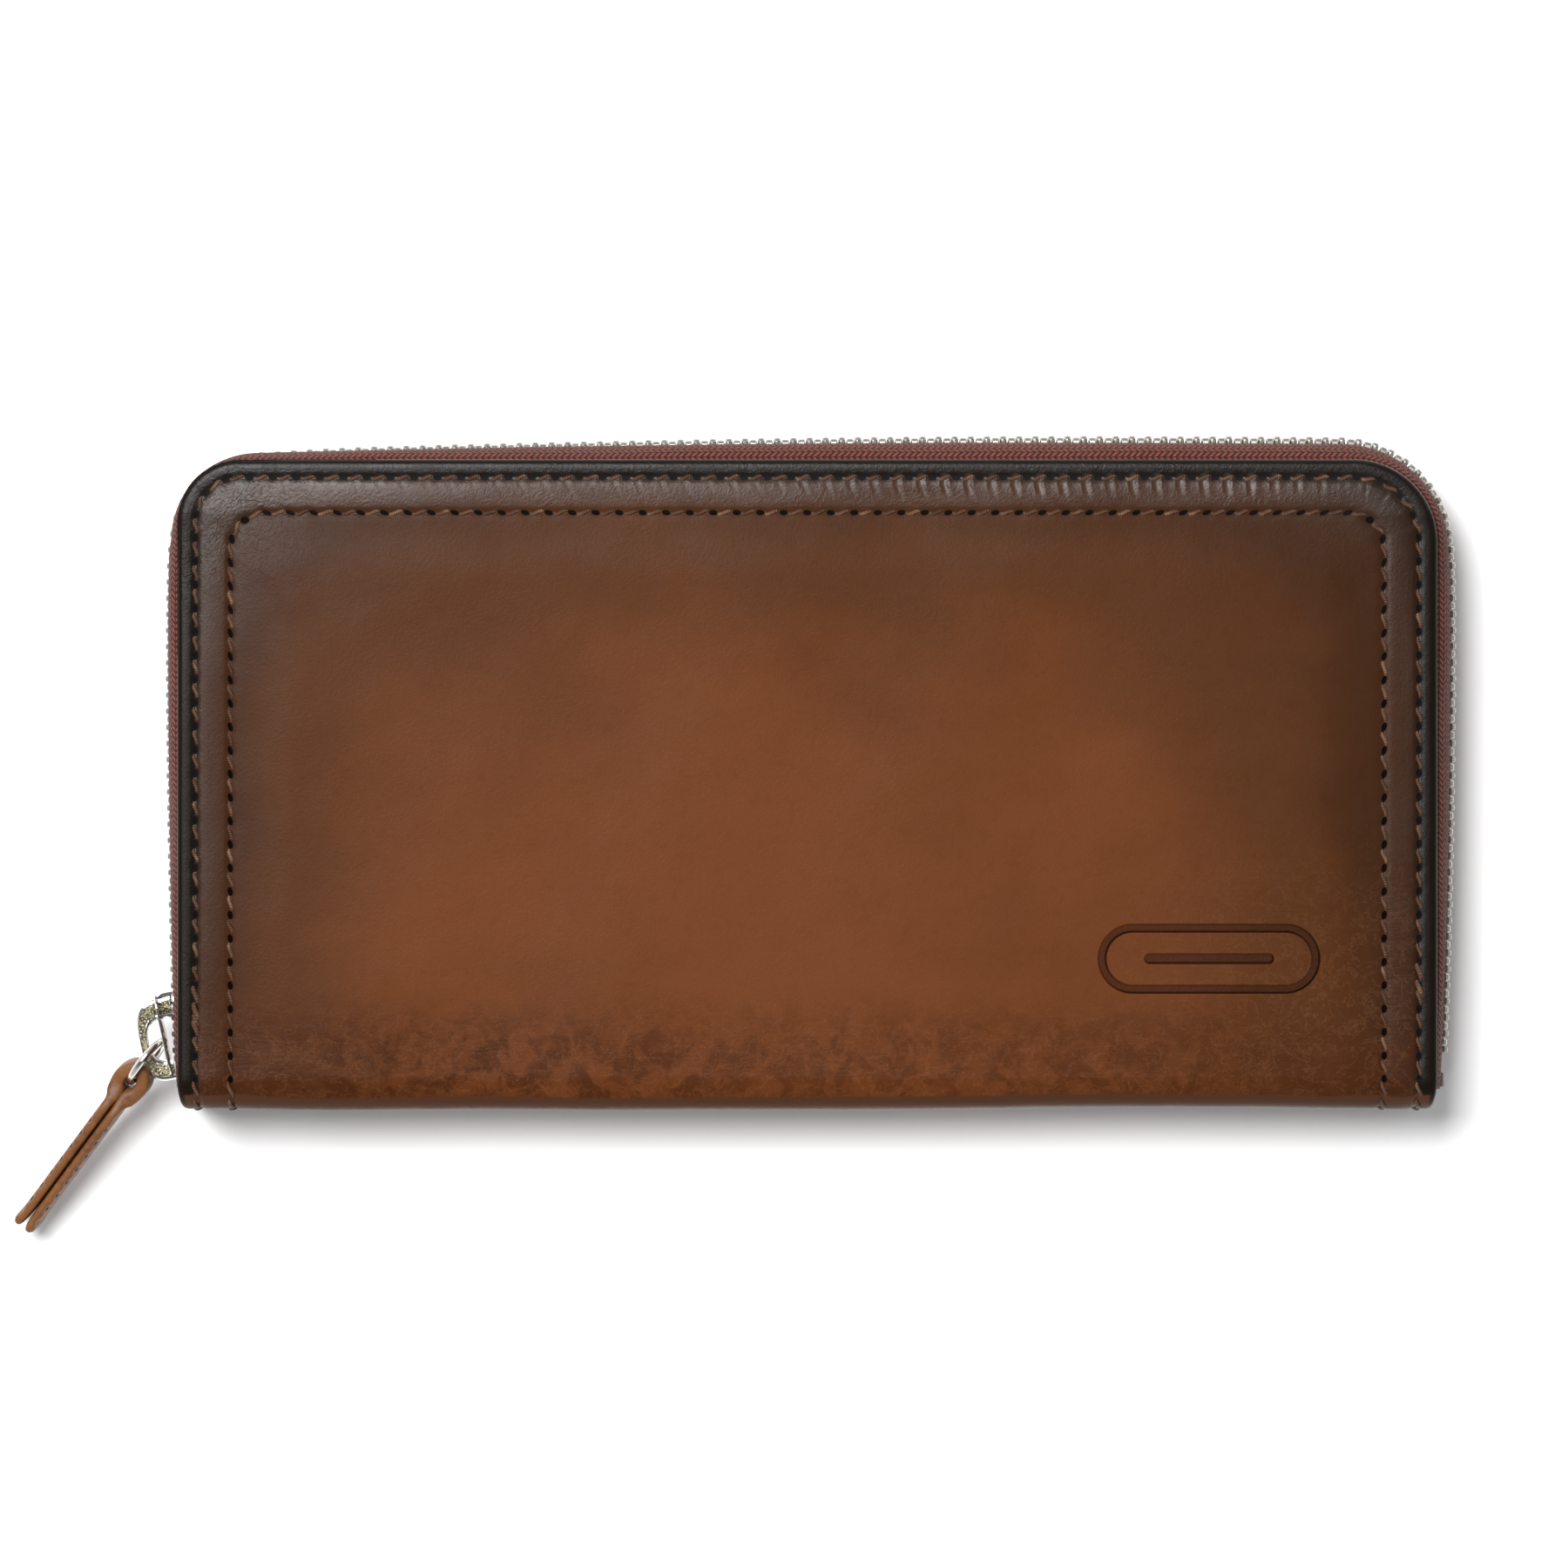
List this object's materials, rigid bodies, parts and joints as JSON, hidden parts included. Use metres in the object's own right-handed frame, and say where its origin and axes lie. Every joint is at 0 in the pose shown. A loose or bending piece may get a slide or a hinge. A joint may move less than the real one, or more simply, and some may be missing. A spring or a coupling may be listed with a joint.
{
  "type": "zip-around long wallet",
  "caption": "Long leather wallet with a zip round three sides, folded spine, card slots, gussets and a zipped coin pocket; slider with ring and strap.",
  "frame": {"origin": "middle of the back cover's outer face, on which the closed wallet lies", "axes": "+X along the spine, +Y from the spine to the long zip run, +Z from the back cover to the front cover"},
  "size_m": [0.2194, 0.1212, 0.024],
  "materials": {
    "cover_leather": "waxed, burnished darker towards the edges",
    "inner_leather": "smooth natural leather",
    "strap_leather": "matte, dark painted edges",
    "thread": "waxed twisted thread",
    "zip_tape": "herringbone woven tape",
    "zip_metal": "bright nickel",
    "hardware": "polished cast nickel",
    "board": "fibre board"
  },
  "bodies": {
    "back": {"back_cover_leather": "cover_leather", "back_stiffener_board": "board", "back_lining": "inner_leather", "back_card_tier_1": "inner_leather", "back_card_tier_2": "inner_leather", "back_card_tier_3": "inner_leather", "back_zip_tape": "zip_tape", "back_zip_teeth": "zip_metal", "back_zip_top_stop": "zip_metal", "left_gusset_back_cover_leaf": "inner_leather", "right_gusset_back_cover_leaf": "inner_leather", "zip_bottom_stop": "zip_metal"},
    "front": {"front_cover_leather": "cover_leather", "front_stiffener_board": "board", "front_lining": "inner_leather", "front_card_tier_1": "inner_leather", "front_card_tier_2": "inner_leather", "front_card_tier_3": "inner_leather", "front_zip_tape": "zip_tape", "front_zip_teeth": "zip_metal", "front_zip_top_stop": "zip_metal", "left_gusset_front_cover_leaf": "inner_leather", "right_gusset_front_cover_leaf": "inner_leather"},
    "coin_pocket": {"coin_pocket_back_panel": "inner_leather", "coin_pocket_front_panel": "inner_leather", "coin_pocket_bottom_fold": "inner_leather", "coin_pocket_left_hem": "inner_leather", "coin_pocket_right_hem": "inner_leather", "coin_zip_back_tape": "zip_tape", "coin_zip_front_tape": "zip_tape", "coin_zip_back_teeth": "zip_metal", "coin_zip_front_teeth": "zip_metal", "left_gusset_back_pocket_leaf": "inner_leather", "left_gusset_front_pocket_leaf": "inner_leather", "right_gusset_back_pocket_leaf": "inner_leather", "right_gusset_front_pocket_leaf": "inner_leather"},
    "slider": {"zip_slider": "hardware"},
    "ring": {"jump_ring": "hardware"},
    "strap": {"pull_strap": "strap_leather"},
    "coin_slider": {"coin_zip_slider": "hardware"},
    "coin_pull": {"coin_zip_pull": "hardware"}
  },
  "joints": [
    {"name": "cover_open", "type": "hinge", "parent": "back", "child": "front", "pos_m": [0, -0.04925, 0.012], "axis": [1, 0, 0], "range_deg": [0, 75]},
    {"name": "pocket_turn", "type": "hinge", "parent": "back", "child": "coin_pocket", "pos_m": [0, -0.04925, 0.012], "axis": [1, 0, 0], "range_deg": [0, 37.5]},
    {"name": "zip_slide", "type": "slide", "parent": "back", "child": "slider", "axis": [-0.023, 0.9997, 0], "range_m": [0, 0.066]},
    {"name": "ring_swing", "type": "hinge", "parent": "slider", "child": "ring", "pos_m": [-0.10043, -0.04195, 0.012], "axis": [0.7967, -0.6044, 0], "range_deg": [-75, 30]},
    {"name": "strap_swing", "type": "hinge", "parent": "ring", "child": "strap", "pos_m": [-0.10264, -0.04487, 0.01112], "axis": [-0.1411, -0.186, 0.9724], "range_deg": [-50, 30]},
    {"name": "coin_slide", "type": "slide", "parent": "coin_pocket", "child": "coin_slider", "axis": [-1, 0, 0], "range_m": [0, 0.148]},
    {"name": "coin_pull_swing", "type": "hinge", "parent": "coin_slider", "child": "coin_pull", "pos_m": [0.074, 0.03755, 0.012], "axis": [0, 0, -1], "range_deg": [0, 180]}
  ],
  "couplings": [
    {"joint": "pocket_turn", "follows": "cover_open", "ratio": 0.5}
  ]
}
